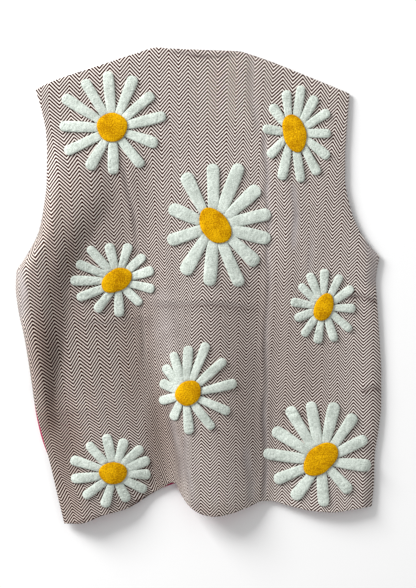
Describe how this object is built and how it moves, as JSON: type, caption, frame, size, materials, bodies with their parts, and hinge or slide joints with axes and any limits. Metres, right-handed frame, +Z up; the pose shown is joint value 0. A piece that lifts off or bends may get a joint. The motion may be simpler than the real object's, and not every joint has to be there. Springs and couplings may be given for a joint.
{
  "type": "tweed waistcoat laid flat",
  "caption": "Boxy sleeveless waistcoat in herringbone tweed with raised woolly daisies on its back, laid face down with soft folds and a lining that peeps out.",
  "frame": {"origin": "middle of the underside of its bounding box, on the surface that it lies on", "axes": "+Z up out of the surface and the back of the garment, +Y to the neck, +X to the right side as it is seen from above"},
  "size_m": [0.4896, 0.637, 0.0343],
  "materials": {
    "tweed": "herringbone tweed, off-white and brown, matt and slightly hairy",
    "lining": "crimson lining twill with a soft sheen",
    "petal_wool": "thick looped pile, off-white with a hint of green",
    "disc_wool": "thick looped pile, golden yellow"
  },
  "bodies": {
    "root": {"back": "tweed", "back_lining": "lining", "left_front": "tweed", "left_front_lining": "lining", "right_front": "tweed", "right_front_lining": "lining", "petals_left_shoulder": "petal_wool", "petals_right_shoulder": "petal_wool", "petals_middle": "petal_wool", "petals_left_waist": "petal_wool", "petals_right_waist": "petal_wool", "petals_low_middle": "petal_wool", "petals_left_hem": "petal_wool", "petals_right_hem": "petal_wool", "disc_left_shoulder": "disc_wool", "disc_right_shoulder": "disc_wool", "disc_middle": "disc_wool", "disc_left_waist": "disc_wool", "disc_right_waist": "disc_wool", "disc_low_middle": "disc_wool", "disc_left_hem": "disc_wool", "disc_right_hem": "disc_wool"}
  },
  "joints": []
}
